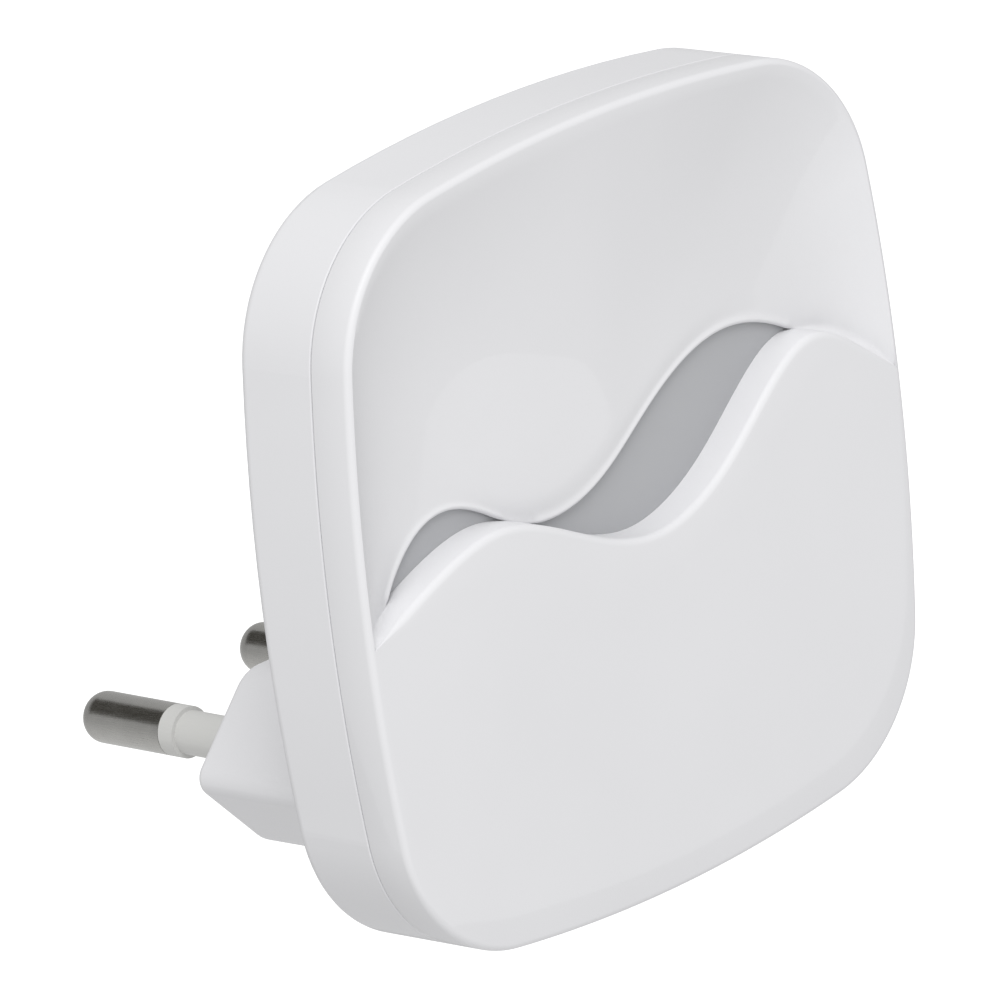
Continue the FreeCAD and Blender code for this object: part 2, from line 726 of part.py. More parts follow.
def contact_strip(doc, side, direction):
    """Brass strip: a tab riveted to the pin, a leg to the board and a soldered foot."""
    tab_back = "dims.boss_reach - dims.boss_end_wall - dims.carrier_length"
    tab_front = f"{tab_back} - dims.strip_gauge"
    leg, outer = "dims.strip_leg", "dims.strip_leg + dims.strip_gauge"
    board, foot_back = "dims.board_back", "dims.board_back + dims.strip_gauge"
    half_strip = "dims.strip_width / 2"
    bends = [("tab", "dims.pin_pitch / 2 - dims.pin_radius", outer, tab_front, tab_back,
              "dims.strip_tab_rise"),
             ("leg", leg, outer, board, tab_back, half_strip),
             ("foot", leg, f"{outer} + dims.strip_foot", board, foot_back, half_strip)]
    pieces = []
    for name, inner, far, front, back, rise in bends:
        left, right = (inner, far) if direction > 0 else (f"-({far})", f"-({inner})")
        pieces.append(box(doc, f"strip_{name}_{side}", (left, front, f"-dims.boss_drop - {rise}"),
                          (right, back, f"-dims.boss_drop + {rise}")))
    hole = rod(doc, f"strip_hole_{side}", f"{direction} * (dims.pin_pitch / 2 + dims.strip_hole_shift)",
               "-dims.boss_drop", f"{tab_front} - 1", f"{tab_back} + 1", "dims.strip_hole_radius")
    strip = cut(doc, f"contact_strip_{side}", fuse(doc, f"strip_{side}", pieces), hole)
    strip.Label = f"contact_strip_{side}"
    return strip


# ---------------------------------------------------------------- light


def rounded_plate(doc, name, inset, front, back):
    """Rectangle behind the slot with rounded corners."""
    body = new_body(doc, name)
    sketch = new_sketch(body, front, "dims.panel_centre")
    across = f"dims.panel_half_width - ({inset})"
    rise = f"dims.panel_half_height - ({inset})"
    add_polygon(sketch, [(across, rise), (f"-({across})", rise), (f"-({across})", f"-({rise})"),
                         (across, f"-({rise})")])
    pad(body, sketch, f"({back}) - ({front})")
    round_edges(body, edges_along(body.Shape), f"dims.panel_corner - ({inset})")
    return body


def light_panel(doc):
    """Translucent panel that closes the slot."""
    return rounded_plate(doc, "light_panel", "0", "dims.slot_depth", "dims.slot_depth + dims.panel_thickness")


def reflector_frame(doc):
    """White frame that carries the light from the board to the panel."""
    front = "dims.slot_depth + dims.panel_thickness"
    outside = rounded_plate(doc, "frame_block", "dims.frame_inset", front, "dims.board_front")
    inside = rounded_plate(doc, "frame_space", "dims.frame_inset + dims.frame_wall", f"{front} - 1",
                           "dims.board_front + 1")
    frame = cut(doc, "reflector_frame", outside, inside)
    frame.Label = "reflector_frame"
    return frame


def light_emitter(doc, name, across, up):
    """Surface-mounted LED: a white body with a shallow round well."""
    low = (f"{across} - dims.led_half_width", "dims.board_front - dims.led_height",
           f"{up} - dims.led_half_height")
    high = (f"{across} + dims.led_half_width", "dims.board_front", f"{up} + dims.led_half_height")
    well = rod(doc, f"{name}_well", across, up, "dims.board_front - 2 * dims.led_height",
               "dims.board_front - dims.led_height + dims.led_well_depth", "dims.led_well_radius")
    led = cut(doc, name, box(doc, f"{name}_body", low, high), well)
    led.Label = name
    return led


# ---------------------------------------------------------------- board


def circuit_board(doc):
    body = new_body(doc, "circuit_board")
    sketch = new_sketch(body, "dims.board_front")
    side, low, corner = "dims.board_half_width", "dims.board_bottom", "dims.board_corner"
    add_polygon(sketch, [
        (side, "dims.board_top"), (f"-{side}", "dims.board_top"), (f"-{side}", f"-{low} + {corner}"),
        (f"-{side} + {corner}", f"-{low}"), (f"{side} - {corner}", f"-{low}"), (side, f"-{low} + {corner}"),
    ])
    for across, up in screw_places():
        add_circle(sketch, across, up, "dims.screw_radius + dims.board_hole_play")
    for across, up in CAPACITOR_LEADS + SMOOTHING_LEADS + RESISTOR_LEADS:
        add_circle(sketch, str(across), str(up), "dims.lead_hole_radius")
    pad(body, sketch, "dims.board_back - dims.board_front")
    return body


def leads(doc, name, places, back):
    """Lead wires that run through the board from a part behind it."""
    return [rod(doc, f"{name}_lead_{index}", across, up, "dims.board_front - dims.lead_stub", back,
                "dims.lead_radius") for index, (across, up) in enumerate(places)]


def film_capacitor(doc):
    """Boxed film capacitor that drops the mains voltage."""
    low = ("-dims.film_half_width", "dims.board_back + dims.stand_off",
           "-dims.film_drop - dims.film_half_height")
    high = ("dims.film_half_width", "dims.board_back + dims.part_height",
            "-dims.film_drop + dims.film_half_height")
    wires = leads(doc, "film", CAPACITOR_LEADS, "dims.board_back + 2 * dims.stand_off")
    part = fuse(doc, "film_capacitor", [box(doc, "film_case", low, high)] + wires)
    part.Label = "film_capacitor"
    return part


def smoothing_capacitor(doc):
    """Upright aluminium can."""
    can = rod(doc, "smoothing_can", "-dims.can_side", "-dims.can_drop", "dims.board_back + dims.stand_off",
              "dims.board_back + dims.part_height", "dims.can_radius")
    wires = leads(doc, "smoothing", SMOOTHING_LEADS, "dims.board_back + 2 * dims.stand_off")
    part = fuse(doc, "smoothing_capacitor", [can] + wires)
    part.Label = "smoothing_capacitor"
    return part


def fusible_resistor(doc):
    """Resistor standing on end, with its far lead bent back to the board."""
    (near, up), (far, _) = RESISTOR_LEADS
    top = "dims.board_back + dims.part_height"
    body = rod(doc, "fusible_body", near, up, "dims.board_back + dims.fusible_front",
               "dims.board_back + dims.fusible_back", "dims.fusible_radius")
    bridge = box(doc, "fusible_bend",
                 (f"{near} - dims.lead_radius", f"{top} - dims.lead_radius", f"{up} - dims.lead_radius"),
                 (f"{far} + dims.lead_radius", f"{top} + dims.lead_radius", f"{up} + dims.lead_radius"))
    wires = leads(doc, "fusible", RESISTOR_LEADS, top)
    part = fuse(doc, "fusible_resistor", [body, bridge] + wires)
    part.Label = "fusible_resistor"
    return part


def board_block(doc, name, across, up, half_width, half_height, thickness):
    """Surface-mounted part: a plain block on the board's front."""
    body = new_body(doc, name)
    sketch = new_sketch(body, f"dims.board_front - {thickness}")
    right, left = str(across + half_width), str(across - half_width)
    top, bottom = str(up + half_height), str(up - half_height)
    add_polygon(sketch, [(right, top), (left, top), (left, bottom), (right, bottom)])
    pad(body, sketch, str(thickness))
    return body


def board_screws(doc):
    """Four pan-head screws that hold the board to the housing's posts."""
    screws = []
    for index, (across, up) in enumerate(screw_places()):
        head = rod(doc, f"screw_head_{index}", across, up, "dims.board_front - dims.screw_head",
                   "dims.board_front", "dims.screw_head_radius")
        shank = rod(doc, f"screw_shank_{index}", across, up, "dims.board_front - dims.screw_head",
                    "dims.board_back + dims.screw_bite", "dims.screw_radius")
        screws.append(fuse(doc, f"screw_{index}", [head, shank]))
    group = doc.addObject("Part::Compound", "board_screws")
    group.Links = screws
    group.Label = "board_screws"
    return group


# ---------------------------------------------------------------- whole


def build_parts(doc, sheet):
    parts = [front_cover(doc, sheet), rear_housing(doc, sheet), pin_carrier(doc), light_panel(doc),
             reflector_frame(doc), circuit_board(doc), film_capacitor(doc), smoothing_capacitor(doc),
             fusible_resistor(doc), board_screws(doc)]
    parts += [contact_strip(doc, side, direction) for side, direction in (("left", -1), ("right", 1))]
    parts += [light_emitter(doc, name, *place) for name, place in LIGHT_EMITTERS.items()]
    parts += [board_block(doc, name, *sizes) for name, sizes in BOARD_BLOCKS.items()]
    for part in parts:
        place_in_row(part)
    for side, direction in (("left", -1), ("right", 1)):
        parts += [contact_pin(doc, side, direction), pin_sleeve(doc, side, direction)]
    return parts


def check(doc, parts):
    for thing in doc.Objects:
        if "Invalid" in thing.State or "Error" in thing.State:
            raise RuntimeError(f"{thing.Name} did not compute: {thing.State}")
    for part in parts:
        if part.Shape.isNull() or not part.Shape.isValid() or not part.Shape.Solids:
            raise RuntimeError(f"{part.Label} has no valid solid")


def main():
    doc = FreeCAD.newDocument("night_light")
    sheet = make_sheet(doc)
    parts = build_parts(doc, sheet)
    doc.recompute()
    check(doc, parts)
    os.makedirs("parts", exist_ok=True)
    for part in parts:
        part.Shape.exportStep(f"parts/{part.Label}.step")
        size = part.Shape.BoundBox
        print(f"{part.Label}: {len(part.Shape.Solids)} solid, {part.Shape.Volume:.0f} mm3, "
              f"x {size.XMin:.1f}..{size.XMax:.1f} y {size.YMin:.1f}..{size.YMax:.1f} "
              f"z {size.ZMin:.1f}..{size.ZMax:.1f}")


main()
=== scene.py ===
"""Looks of a wave-fronted plug-in night light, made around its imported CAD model."""
import json
import math

import bmesh
import bpy
import numpy as np
from mathutils import Matrix, Vector


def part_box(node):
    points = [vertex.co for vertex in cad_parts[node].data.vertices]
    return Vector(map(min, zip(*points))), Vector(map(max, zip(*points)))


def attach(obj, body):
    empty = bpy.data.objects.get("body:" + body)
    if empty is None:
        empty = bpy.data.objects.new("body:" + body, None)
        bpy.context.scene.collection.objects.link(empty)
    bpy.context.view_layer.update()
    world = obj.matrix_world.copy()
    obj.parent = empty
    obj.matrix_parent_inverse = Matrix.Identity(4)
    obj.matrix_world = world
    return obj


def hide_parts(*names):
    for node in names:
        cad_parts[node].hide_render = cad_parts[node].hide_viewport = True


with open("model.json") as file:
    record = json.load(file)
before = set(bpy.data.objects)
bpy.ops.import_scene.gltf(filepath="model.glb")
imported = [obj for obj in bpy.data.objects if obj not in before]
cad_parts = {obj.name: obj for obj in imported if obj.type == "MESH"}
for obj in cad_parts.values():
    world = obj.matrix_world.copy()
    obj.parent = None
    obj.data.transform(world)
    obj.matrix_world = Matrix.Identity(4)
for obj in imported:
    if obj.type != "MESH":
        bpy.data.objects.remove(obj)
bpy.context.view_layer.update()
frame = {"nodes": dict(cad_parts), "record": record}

MM = 0.001

# Lengths are in metres, apart from the lens, which is in millimetres. Angles are in degrees.

# Camera: a long lens that looks down on the front's left side, rolled a little.
CAMERA_AZIMUTH = -46.699
CAMERA_ELEVATION = 16.6
CAMERA_ROLL = -6.837
CAMERA_DISTANCE = 0.7863
CAMERA_LENS = 389.475
CAMERA_NEAR = 0.05
CAMERA_FAR = 50
AIM_FROM_PANEL = Vector((-6.665, 7.777, 1.259)) * MM

# White floor, a little self-lit, well below the case.
FLOOR_DROP = 0.25
FLOOR_SIZE = 8.0
FLOOR_GLOW = 0.5
FLOOR_GREYS = (0.94, 0.94, 0.94), (0.95, 0.95, 0.95)
FLOOR_CLOUD = 0.002

# Soft studio light: a sky that is brighter in front, light from the table, and one large lamp.
SKY_MEAN = 0.67
SKY_SLOPE = (0.03, -0.165, -0.03)
TABLE_LIGHT = 0.35
KEY_PLACE = Vector((-0.60, -0.48, 0.92))
KEY_SIZE = 0.7
KEY_POWER = 9.2

# Black card above and behind the plug, which the bright pins mirror as a dark band.
# Its direction has a share along the pins, and the rest is turned about them from +X.
CARD_ALONG_PINS = 0.657
CARD_TURN = 117.0
CARD_DISTANCE = 0.35
CARD_HALF_LENGTH = 0.16
CARD_HALF_WIDTH = 0.12
CARD_BLACK = (0.06, 0.055, 0.045, 1)


# ---------------------------------------------------------------- materials


# Noise values run mostly between these two, so colours and roughness change between them.
NOISE_LOW = 0.3
NOISE_HIGH = 0.7

# Mouldings: scale of the slow change in tone, its share of the colour, and the roughness spread.
TONE_SCALE = 0.05
TONE_SHARE = 0.012
ROUGHNESS_SPREAD = 0.05


def shader_of(material):
    return material.node_tree.nodes["Principled BSDF"]


def new_material(name):
    """Material with a plain Principled shader; returns it with its node tree and shader."""
    material = bpy.data.materials.new(name)
    material.use_nodes = True
    return material, material.node_tree, shader_of(material)


def coordinates(tree, stretch=(1, 1, 1)):
    """Object coordinates in millimetres, stretched along each axis."""
    place = tree.nodes.new("ShaderNodeTexCoord")
    scale = tree.nodes.new("ShaderNodeMapping")
    scale.inputs["Scale"].default_value = Vector(stretch) / MM
    tree.links.new(place.outputs["Object"], scale.inputs["Vector"])
    return scale.outputs["Vector"]


def noise(tree, vector, scale, detail=3.0, roughness=0.55):
    """Noise whose scale is in features per millimetre."""
    texture = tree.nodes.new("ShaderNodeTexNoise")
    texture.inputs["Scale"].default_value = scale
    texture.inputs["Detail"].default_value = detail
    texture.inputs["Roughness"].default_value = roughness
    tree.links.new(vector, texture.inputs["Vector"])
    return texture.outputs["Fac"]


def ramp(tree, value, low, high):
    """Colour that runs from low to high as the noise does."""
    blend = tree.nodes.new("ShaderNodeValToRGB")
    blend.color_ramp.elements[0].position = NOISE_LOW
    blend.color_ramp.elements[1].position = NOISE_HIGH
    blend.color_ramp.elements[0].color = (*low, 1)
    blend.color_ramp.elements[1].color = (*high, 1)
    tree.links.new(value, blend.inputs["Fac"])
    return blend.outputs["Color"]


def spread(tree, value, low, high):
    """Number that runs from low to high as the noise does."""
    scale = tree.nodes.new("ShaderNodeMapRange")
    scale.inputs["From Min"].default_value = NOISE_LOW
    scale.inputs["From Max"].default_value = NOISE_HIGH
    scale.inputs["To Min"].default_value = low
    scale.inputs["To Max"].default_value = high
    tree.links.new(value, scale.inputs["Value"])
    return scale.outputs["Result"]


def bump(tree, shader, value, depth):
    """Relief of a depth in millimetres."""
    relief = tree.nodes.new("ShaderNodeBump")
    relief.inputs["Distance"].default_value = depth * MM
    relief.inputs["Strength"].default_value = 1.0
    tree.links.new(value, relief.inputs["Height"])
    tree.links.new(relief.outputs["Normal"], shader.inputs["Normal"])


def shade(color, amount):
    return tuple(channel * amount for channel in color)


def moulded_plastic(name, color, roughness, grain=6.0, depth=0.004):
    """Matt moulding: a fine spark-eroded grain and a barely uneven tone."""
    material, tree, shader = new_material(name)
    place = coordinates(tree)
    tone = noise(tree, place, TONE_SCALE)
    tint = ramp(tree, tone, shade(color, 1 - TONE_SHARE), shade(color, 1 + TONE_SHARE))
    tree.links.new(tint, shader.inputs["Base Color"])
    fine = noise(tree, place, grain, detail=2.0)
    matt = spread(tree, fine, roughness - ROUGHNESS_SPREAD, roughness + ROUGHNESS_SPREAD)
    tree.links.new(matt, shader.inputs["Roughness"])
    bump(tree, shader, fine, depth)
    return material


def case_white():
    material = moulded_plastic("case_white", (0.69, 0.69, 0.705), 0.5)
    shader_of(material).inputs["Specular IOR Level"].default_value = 0.4
    return material


def sleeve_plastic():
    return moulded_plastic("sleeve_plastic", (0.56, 0.56, 0.545), 0.5)


def frosted_panel():
    """Smoke-grey translucent sheet: light scatters inside, the face keeps a soft sheen."""
    grey = (0.40, 0.405, 0.42)
    material = moulded_plastic("frosted_panel", grey, 0.35, grain=10.0, depth=0.002)
    shader = shader_of(material)
    shader.inputs["Subsurface Weight"].default_value = 0.3
    shader.inputs["Subsurface Radius"].default_value = (0.6 * MM, 0.6 * MM, 0.65 * MM)
    shader.inputs["Subsurface Scale"].default_value = 1.0
    return material


def satin_nickel():
    """Turned and plated pins: a smooth satin metal with fine streaks along it and faint clouding."""
    material, tree, shader = new_material("pin_nickel")
    shader.inputs["Metallic"].default_value = 1.0
    place = coordinates(tree)
    cloud = noise(tree, place, 0.7, detail=4.0, roughness=0.65)
    tint = ramp(tree, cloud, (0.44, 0.435, 0.42), (0.49, 0.485, 0.465))
    tree.links.new(tint, shader.inputs["Base Color"])
    streaks = noise(tree, coordinates(tree, (4.0, 0.25, 4.0)), 3.0, detail=4.0, roughness=0.7)
    tree.links.new(spread(tree, streaks, 0.22, 0.32), shader.inputs["Roughness"])
    bump(tree, shader, streaks, 0.0015)
    return material


def plain_metal(name, color, roughness):
    """Bare metal with a faint grain that is finer along Y than across it."""
    material, tree, shader = new_material(name)
    shader.inputs["Metallic"].default_value = 1.0
    grain = noise(tree, coordinates(tree, (1, 4, 1)), 3.0)
    tint = ramp(tree, grain, shade(color, 0.9), shade(color, 1.05))
    tree.links.new(tint, shader.inputs["Base Color"])
    satin = spread(tree, grain, roughness - 0.05, roughness + 0.08)
    tree.links.new(satin, shader.inputs["Roughness"])
    bump(tree, shader, grain, 0.004)
    return material


# Colour and roughness of the pieces inside the case.
INSIDE_PLASTICS = {
    "inner_plastic": ((0.72, 0.72, 0.70), 0.5),
    "reflector_white": ((0.86, 0.86, 0.86), 0.25),
    "board_laminate": ((0.03, 0.16, 0.07), 0.35),
    "capacitor_box": ((0.50, 0.05, 0.03), 0.4),
    "resistor_body": ((0.22, 0.30, 0.24), 0.45),
    "led_package": ((0.85, 0.80, 0.55), 0.3),
    "chip_black": ((0.02, 0.02, 0.02), 0.5),
    "sensor_clear": ((0.12, 0.10, 0.09), 0.15),
    "chip_resistor": ((0.03, 0.03, 0.035), 0.3),
}
INSIDE_METALS = {
    "capacitor_can": ((0.70, 0.70, 0.71), 0.3),
    "screw_steel": ((0.52, 0.52, 0.53), 0.35),
    "strip_brass": ((0.72, 0.55, 0.25), 0.3),
}


def make_materials():
    materials = {"case_white": case_white(), "sleeve_plastic": sleeve_plastic(),
                 "frosted_panel": frosted_panel(), "pin_nickel": satin_nickel()}
    for name, (color, roughness) in INSIDE_PLASTICS.items():
        materials[name] = moulded_plastic(name, color, roughness)
    for name, (color, roughness) in INSIDE_METALS.items():
        materials[name] = plain_metal(name, color, roughness)
    return materials


def dress_nodes(materials):
    """Give every CAD node the material of its slot in the record."""
    for entry in frame["record"]["subparts"]:
        node = frame["nodes"][entry["node"]]
        node.data.materials.clear()
        node.data.materials.append(materials[entry["material_slot"]])


# ---------------------------------------------------------------- front cover

# Shape of the cover in millimetres: x and z from the centre of the front, depth behind it.
SIDE_RADIUS = 142.0
CORNER_RADIUS = 12.5
SEAM_DEPTH = 3.6
SEAM_EDGE = 0.12
SEAM_GAP = 0.06
TONGUE_DEPTH = 5.4
RIM_WALL = 1.65
INNER_WALL = 2.4
FRONT_EDGE = 0.5
PANEL_SKIN = 1.6
SLOT_DEPTH = 3.0
WAVE_ROUNDING = 0.55
WAVE_WALL = 1.2
WAVE_FADE = 4.0
SCOOP_LIP = 2.3
SCOOP_TIP = 3.0
SCOOP_TIP_REACH = 24.0
SCOOP_TIP_PAST = 1.25
SCOOP_TOP_POWER = 2.4
SCOOP_SIDE_POWER = 8.0
SCOOP_SHELL = 1.3
SHELL_BACK = 2.98
LIP_FRONT = 2.6
LIP_DIP = 0.2
LIP_DIP_WIDTH = 1.1
LIP_BEAD = 0.12
LIP_BEAD_WIDTH = 0.28
LIP_ROUNDING = 0.25
LIP_TUCK = 0.3
SCOOP_CROWDING = 1.7
END_BLEND = 1.3
END_BLEND_REACH = 4.5
END_BLEND_SHARE = 0.9
LEAST_ROUNDING = 0.01
LEAST_BLEND = 0.001
END_ZONE_X = 25
END_ZONE_Z = 8
NO_LIP = -99
TINY = 1e-6
WAVE_EDGE = [
    (-34.0, -4.2), (-27.0, -1.1), (-21.0, 1.3), (-15.0, 2.4), (-6.6, -0.4), (1.5, -2.8),
    (8.9, -0.5), (15.0, 4.0), (20.7, 6.7), (26.5, 4.0), (34.0, -2.2),
]
LIP_EDGE = [
    (-26.0, -1.4), (-23.9, 1.45), (-21.75, 3.4), (-18.4, 4.45), (-14.05, 3.1), (-10.7, 1.25),
    (-6.3, 0.55), (-1.5, 1.8), (3.55, 4.9), (8.65, 7.75), (13.4, 8.9), (17.35, 8.4), (24.0, 5.0),
]

# Fineness of the cover's mesh: sections along the wave, steps across each section, and
# the distance, in metres, below which points are joined.
COVER_SECTIONS = 320
TIP_SECTIONS = 60
TIP_SPAN = (-0.01, 0.03)
SPLINE_POINTS = 1600
ARC_POINTS = 500
PANEL_STEPS = 10
SCOOP_STEPS = 34
BACK_STEPS = 8
SEAM_TURNS = 3
FRONT_TURNS = 6
WAVE_TURNS = 7
LIP_TURNS = 8
WELD = 0.0005 * MM
SHARP_ANGLE = 35


def bends(knots, gap):
    """Second derivative of a natural cubic spline at its knots."""
    size = len(knots)
    system, rise = np.eye(size), np.zeros((size, 2))
    for row in range(1, size - 1):
        system[row, row - 1:row + 2] = gap[row - 1], 2 * (gap[row - 1] + gap[row]), gap[row]
        slope_after = (knots[row + 1] - knots[row]) / gap[row]
        slope_before = (knots[row] - knots[row - 1]) / gap[row - 1]
        rise[row] = 6 * (slope_after - slope_before)
    return np.linalg.solve(system, rise)


def spline(points):
    """Natural cubic spline through points, as dense arrays of x and z."""
    knots = np.array(points)
    chord = np.concatenate([[0], np.cumsum(np.linalg.norm(np.diff(knots, axis=0), axis=1))])
    gap = np.diff(chord)
    bend = bends(knots, gap)
    place = np.linspace(0, chord[-1], SPLINE_POINTS)
    span = np.clip(np.searchsorted(chord, place, side="right") - 1, 0, len(knots) - 2)
    width = gap[span][:, None]
    after = (place - chord[span])[:, None]
    before = width - after
    curve = (bend[span] * before ** 3 + bend[span + 1] * after ** 3) / (6 * width)
    curve += (knots[span] / width - bend[span] * width / 6) * before
    curve += (knots[span + 1] / width - bend[span + 1] * width / 6) * after
    return curve.T


def smooth(value):
    """Ease from 0 to 1 as value goes from 0 to 1."""
    held = np.clip(value, 0, 1)
    return held * held * (3 - 2 * held)


def shares(steps):
    """Shares of a whole after each of a number of equal steps."""
    return np.linspace(0, 1, steps + 1)[1:]


def quarter_turn(steps):
    """Angles from 0 to a quarter turn."""
    return np.linspace(0, math.pi / 2, steps + 1)


def first_arcs(half_width, half_height, inset=0.0):
    """Right side, upper right corner and top of the outline: centre, radius, start and end angle."""
    across, up = SIDE_RADIUS - half_width, SIDE_RADIUS - half_height
    reach, gap = SIDE_RADIUS - CORNER_RADIUS, math.hypot(across, up)
    inward = math.sqrt(reach ** 2 - gap ** 2 / 4)
    corner = (-across / 2 + inward * up / gap, -up / 2 + inward * across / gap)
    low = math.atan2(corner[1], corner[0] + across)
    high = math.atan2(corner[1] + up, corner[0])
    return [((-across, 0), SIDE_RADIUS - inset, 0, low), (corner, CORNER_RADIUS - inset, low, high),
            ((0, -up), SIDE_RADIUS - inset, high, math.pi / 2)]


class Cover:
    """Sections of the wave-fronted shell, each from the case's outline in to the wave."""

    def __init__(self, half_width, half_height):
        self.sizes = (half_width, half_height)
        self.wave = spline(WAVE_EDGE)
        self.lip = spline(LIP_EDGE)
        self.trace_outline()
        self.place_sections()

    def trace_outline(self):
        """Points and outward normals once round the outline, from the middle of the right side."""
        quarter = []
        for centre, radius, start, end in first_arcs(*self.sizes):
            turn = np.linspace(start, end, ARC_POINTS, endpoint=False)
            normal = np.stack([np.cos(turn), np.sin(turn)], axis=1)
            quarter.append(np.hstack([np.array(centre) + radius * normal, normal]))
        first = np.vstack(quarter)
        second = first[::-1] * (-1, 1, -1, 1)
        half = np.vstack([first, second])
        self.outline = np.vstack([half, half * -1])
        steps = np.linalg.norm(np.diff(self.outline[:, :2], axis=0), axis=1)
        self.travel = np.concatenate([[0], np.cumsum(steps)])

    def outline_at(self, travel):
        """Points and outward normals of the outline at distances along it."""
        wrapped = np.mod(travel, self.travel[-1])
        rows = np.stack([np.interp(wrapped, self.travel, column) for column in self.outline.T], axis=1)
        rows[:, 2:] /= np.linalg.norm(rows[:, 2:], axis=1)[:, None]
        return rows

    def end_of_wave(self, side):
        """Travel along the outline, and x, where the wave runs out on one side."""
        inner = self.outline[:, :2] - FRONT_EDGE * self.outline[:, 2:]
        near = np.where((inner[:, 0] * side > END_ZONE_X) & (np.abs(inner[:, 1]) < END_ZONE_Z))[0]
        miss = np.abs(inner[near, 1] - np.interp(inner[near, 0], *self.wave))
        index = near[np.argmin(miss)]
        return self.travel[index], inner[index, 0]

    def lip_at(self, x):
        """Height of the lip's line, far below the wave where there is no lip."""
        return np.interp(x, *self.lip, left=NO_LIP, right=NO_LIP)

    def place_sections(self):
        """Ends of each section: on the wave, and on the outline above and below it."""
        (right, right_x), (left, left_x) = self.end_of_wave(1), self.end_of_wave(-1)
        inside = self.wave[0][self.lip_at(self.wave[0]) > self.wave[1]]
        self.slot_ends = (inside[0], inside[-1])
        tip = (inside[0] - left_x) / (right_x - left_x)
        near_tip = tip + np.linspace(*TIP_SPAN, TIP_SECTIONS)
        along = np.unique(np.concatenate([np.linspace(0, 1, COVER_SECTIONS), near_tip]))
        self.x = left_x + (right_x - left_x) * along
        self.z = np.interp(self.x, *self.wave)
        slope = np.gradient(self.z, self.x)
        self.up = np.stack([-slope, np.ones_like(slope)], axis=1) / np.hypot(slope, 1)[:, None]
        loop = self.travel[-1]
        self.upper = self.outline_at(left + (right - left) * along)
        self.lower = self.outline_at(left + (right + loop - left) * along)

    def reach(self, across, up):
        """Distance from the centre to the front's edge in a direction of the first quarter."""
        angle = np.arctan2(up, across)
        reach = np.zeros_like(angle)
        for (x, z), radius, start, _ in first_arcs(*self.sizes, FRONT_EDGE):
            begin = math.atan2(z + radius * math.sin(start), x + radius * math.cos(start))
            along = across * x + up * z
            length = along + np.sqrt(along ** 2 - x ** 2 - z ** 2 + radius ** 2)
            reach = np.where(angle >= begin, length, reach)
        return reach

    def scoop(self, x, z):
        """Depth of the scooped face: nothing at the case's edge, falling steeply at the sides."""
        size = np.maximum(np.hypot(x, z), TINY)
        reach = self.reach(np.abs(x) / size, np.abs(z) / size)
        outward = np.minimum(np.abs(x) / SCOOP_TIP_REACH, SCOOP_TIP_PAST)
        deepest = SCOOP_LIP + (SCOOP_TIP - SCOOP_LIP) * outward ** 2
        side = (x / size) ** 2
        power = SCOOP_TOP_POWER * (1 - side) + SCOOP_SIDE_POWER * side
        return deepest * np.clip(1 - (size / reach) ** power, 0, 1)

    def rim(self, row):
        """Edge of a section, as (inset, depth) pairs from inside the tongue to the front rounding."""
        rear = SEAM_DEPTH - SEAM_GAP
        path = [(INNER_WALL, PANEL_SKIN), (INNER_WALL, TONGUE_DEPTH)]
        path += [(RIM_WALL, TONGUE_DEPTH), (RIM_WALL, rear)]
        for turn in quarter_turn(SEAM_TURNS):
            path.append((SEAM_EDGE * (1 - math.sin(turn)), rear - SEAM_EDGE * (1 - math.cos(turn))))
        for turn in quarter_turn(FRONT_TURNS):
            path.append((FRONT_EDGE * (1 - math.cos(turn)), FRONT_EDGE * (1 - math.sin(turn))))
        return [(row[:, :2] - inset * row[:, 2:], np.full(len(row), depth)) for inset, depth in path]

    def panel_sections(self):
        """Lower panel: rim, flat face, rounded wavy edge, wall and back."""
        strips = self.rim(self.lower)
        start = self.lower[:, :2] - FRONT_EDGE * self.lower[:, 2:]
        edge = np.stack([self.x, self.z], axis=1)
        ends = np.minimum(self.x - self.x[0], self.x[-1] - self.x) / WAVE_FADE
        radius = WAVE_ROUNDING * smooth(ends) + LEAST_ROUNDING
        foot = edge - self.up * radius[:, None]
        level = np.zeros_like(radius)
        for part in shares(PANEL_STEPS):
            strips.append((start + (foot - start) * part, level))
        for turn in quarter_turn(WAVE_TURNS)[1:]:
            place = foot + self.up * (radius * math.sin(turn))[:, None]
            strips.append((place, radius * (1 - math.cos(turn))))
        strips.append((edge, level + SLOT_DEPTH))
        inner = edge - self.up * WAVE_WALL
        strips += [(inner, level + SLOT_DEPTH), (inner, level + PANEL_SKIN)]
        return strips

    def lip_line(self):
        """Lower edge of the scooped face: the lip over the slot, elsewhere just inside the wall."""
        return np.stack([self.x, np.maximum(self.lip_at(self.x), self.z - LIP_TUCK)], axis=1)

    def end_fillet(self, place, depth):
        """Shallower depth beside the wall past the slot's ends, where the faces flow together."""
        past = np.maximum(self.slot_ends[0] - self.x, self.x - self.slot_ends[1])
        room = END_BLEND_SHARE * np.maximum(self.scoop(*np.stack([self.x, self.z])), 0)
        radius = np.maximum(np.minimum(END_BLEND * smooth(past / END_BLEND_REACH), room), LEAST_BLEND)
        close = np.clip(1 - (place[:, 1] - np.interp(place[:, 0], *self.wave)) / radius, 0, 1)
        return np.maximum(depth - radius * (1 - np.sqrt(1 - close ** 2)), 0)

